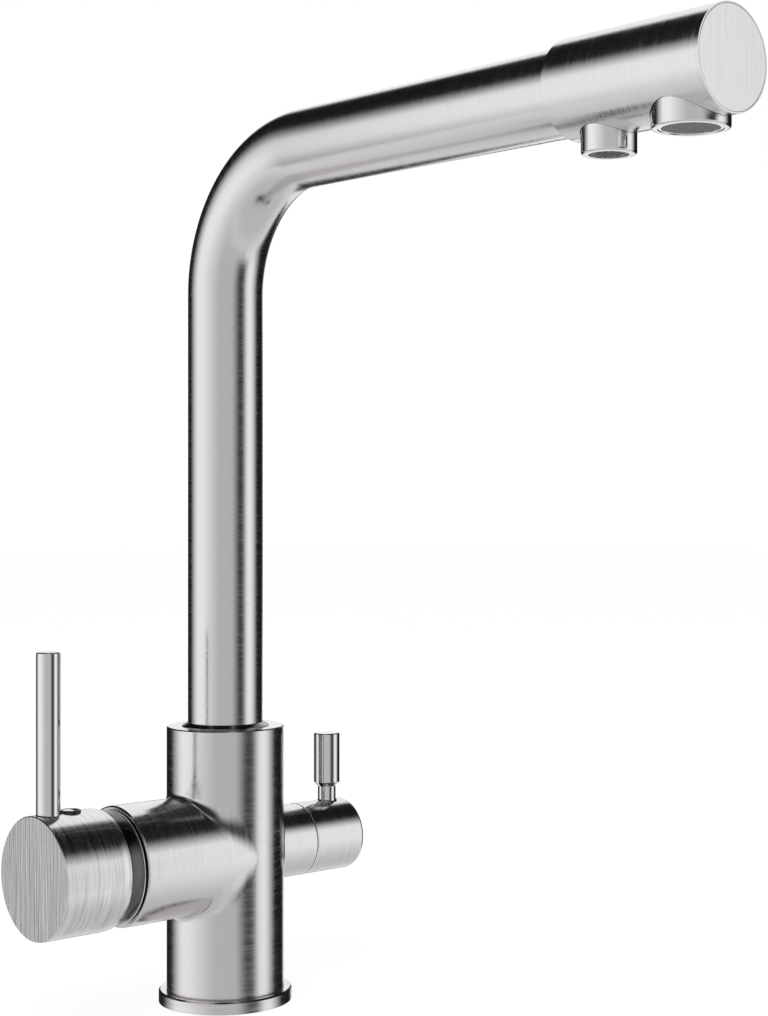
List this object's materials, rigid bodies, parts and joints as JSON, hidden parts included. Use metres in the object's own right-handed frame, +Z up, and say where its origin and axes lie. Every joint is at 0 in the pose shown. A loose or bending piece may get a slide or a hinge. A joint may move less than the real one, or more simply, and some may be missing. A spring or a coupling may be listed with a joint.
{
  "type": "kitchen tap",
  "caption": "Deck-mounted kitchen mixer tap with a high swivel spout, a side mixing lever and a quarter-turn valve that feeds filtered water to its own outlet.",
  "frame": {"origin": "centre of the column's underside, on the worktop's surface", "axes": "+Z up along the column and the axis that the spout swivels on; -Y towards the user, the way the spout points at rest; -X towards the mixer handle; +X towards the filter valve"},
  "size_m": [0.1403, 0.2646, 0.3295],
  "materials": {
    "brushed_steel": "fine lines brushed round each turned surface",
    "polished_steel": "smooth and polished",
    "spring_steel": "plain drawn steel",
    "black_steel": "black oxide",
    "brass": "plain machined",
    "ceramic": "lapped ceramic",
    "cartridge_plastic": "moulded acetal",
    "black_plastic": "moulded, glossy",
    "rubber": "moulded",
    "hose_plastic": "extruded, milky",
    "aerator_plastic": "moulded",
    "screen_steel": "perforated sheet"
  },
  "bodies": {
    "body": {"base_ring": "brushed_steel", "base_gasket": "rubber", "body_casting": "brushed_steel", "seat_ring": "polished_steel", "cartridge_seals": "rubber", "cartridge_base": "cartridge_plastic", "fixed_disc": "ceramic", "cartridge_housing": "cartridge_plastic", "cartridge_nut": "brass", "dome_cover": "polished_steel", "valve_seal": "rubber", "valve_bushing": "brass", "valve_fixed_disc": "ceramic"},
    "mixer_carrier": {"lever_fork": "cartridge_plastic", "pivot_pin": "spring_steel"},
    "disc_slider": {"disc_carrier": "cartridge_plastic", "moving_disc": "ceramic"},
    "handle": {"cartridge_lever": "brass", "handle_cap": "brushed_steel", "lever_rod": "brushed_steel", "handle_grub_screw": "black_steel", "index_ring": "black_plastic", "index_button": "polished_steel"},
    "spout": {"spout_foot": "brass", "spout_o_rings": "rubber", "retaining_ring": "spring_steel", "spout_tube": "brushed_steel", "spout_head": "brushed_steel", "head_end_cap": "brushed_steel", "filter_hose": "hose_plastic", "hose_plug": "brass", "hose_plug_o_ring": "rubber", "outlet_elbow": "brass", "small_outlet": "brushed_steel", "small_screen": "aerator_plastic", "large_outlet": "brushed_steel", "aerator_seal": "rubber", "aerator_body": "aerator_plastic", "aerator_screen": "screen_steel"},
    "filter_knob": {"valve_spindle": "brass", "valve_moving_disc": "ceramic", "spindle_o_rings": "rubber", "spindle_clip": "spring_steel", "filter_knob": "brushed_steel", "knob_lever": "brushed_steel", "knob_grub_screw": "black_steel"}
  },
  "joints": [
    {"name": "spout_swivel", "type": "hinge", "parent": "body", "child": "spout", "pos_m": [0, 0, 0.1], "axis": [0, 0, 1], "continuous": true},
    {"name": "mixer_temperature", "type": "hinge", "parent": "body", "child": "mixer_carrier", "pos_m": [0, 0, 0.0558], "axis": [1, 0, 0], "range_deg": [-45, 45]},
    {"name": "mixer_tilt", "type": "hinge", "parent": "mixer_carrier", "child": "handle", "pos_m": [-0.0548, 0, 0.0558], "axis": [0, -1, 0], "range_deg": [0, 18]},
    {"name": "disc_slide", "type": "slide", "parent": "mixer_carrier", "child": "disc_slider", "axis": [0, 0, 1], "range_m": [0, 0.00502]},
    {"name": "filter_turn", "type": "hinge", "parent": "body", "child": "filter_knob", "pos_m": [0, 0, 0.0558], "axis": [1, 0, 0], "range_deg": [0, 90]}
  ],
  "couplings": [
    {"joint": "disc_slide", "follows": "mixer_tilt", "m_per_rad": 0.015955}
  ]
}
